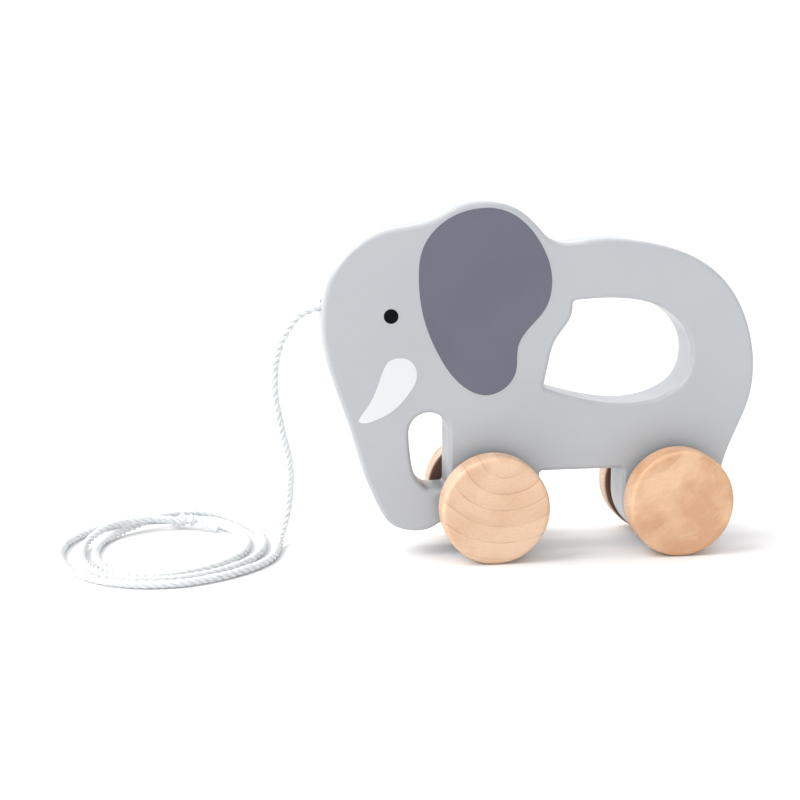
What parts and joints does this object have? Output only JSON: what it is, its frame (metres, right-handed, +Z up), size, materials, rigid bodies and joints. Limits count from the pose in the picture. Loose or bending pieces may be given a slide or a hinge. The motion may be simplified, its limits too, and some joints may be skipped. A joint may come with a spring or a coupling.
{
  "type": "pull along toy",
  "caption": "Wooden elephant sawn from one painted board with a grip hole, rolling on four turned wheels on two dowel axles, pulled by a cord from its forehead.",
  "frame": {"origin": "on the floor under the middle of the painted board, half way between the two wheels of each axle", "axes": "+Z up; the elephant faces -X; its own left side is -Y; both axles lie along Y"},
  "size_m": [0.2585, 0.0915, 0.1308],
  "materials": {
    "board_paint": "satin water-based paint on a sanded board",
    "ear_paint": "screen printed dark grey paint",
    "eye_paint": "screen printed black paint",
    "tusk_paint": "screen printed white paint",
    "wheel_beech": "turned beech, sanded, thin clear lacquer",
    "dowel_beech": "plain beech dowel",
    "cord_cotton": "white twisted cotton cord"
  },
  "bodies": {
    "elephant": {"body_board": "board_paint", "print_ear_left": "ear_paint", "print_ear_right": "ear_paint", "print_eye_left": "eye_paint", "print_eye_right": "eye_paint", "print_tusk_left": "tusk_paint", "print_tusk_right": "tusk_paint", "cord": "cord_cotton", "cord_coil": "cord_cotton", "cord_end_knot": "cord_cotton"},
    "front_wheels": {"front_axle": "dowel_beech", "front_left_spacer": "dowel_beech", "front_left_wheel": "wheel_beech", "front_right_spacer": "dowel_beech", "front_right_wheel": "wheel_beech"},
    "rear_wheels": {"rear_axle": "dowel_beech", "rear_left_spacer": "dowel_beech", "rear_left_wheel": "wheel_beech", "rear_right_spacer": "dowel_beech", "rear_right_wheel": "wheel_beech"}
  },
  "joints": [
    {"name": "front_axle_spin", "type": "hinge", "parent": "elephant", "child": "front_wheels", "pos_m": [-0.0197, 0, 0.02], "axis": [0, 1, 0], "continuous": true},
    {"name": "rear_axle_spin", "type": "hinge", "parent": "elephant", "child": "rear_wheels", "pos_m": [0.0501, 0, 0.02], "axis": [0, 1, 0], "continuous": true}
  ]
}
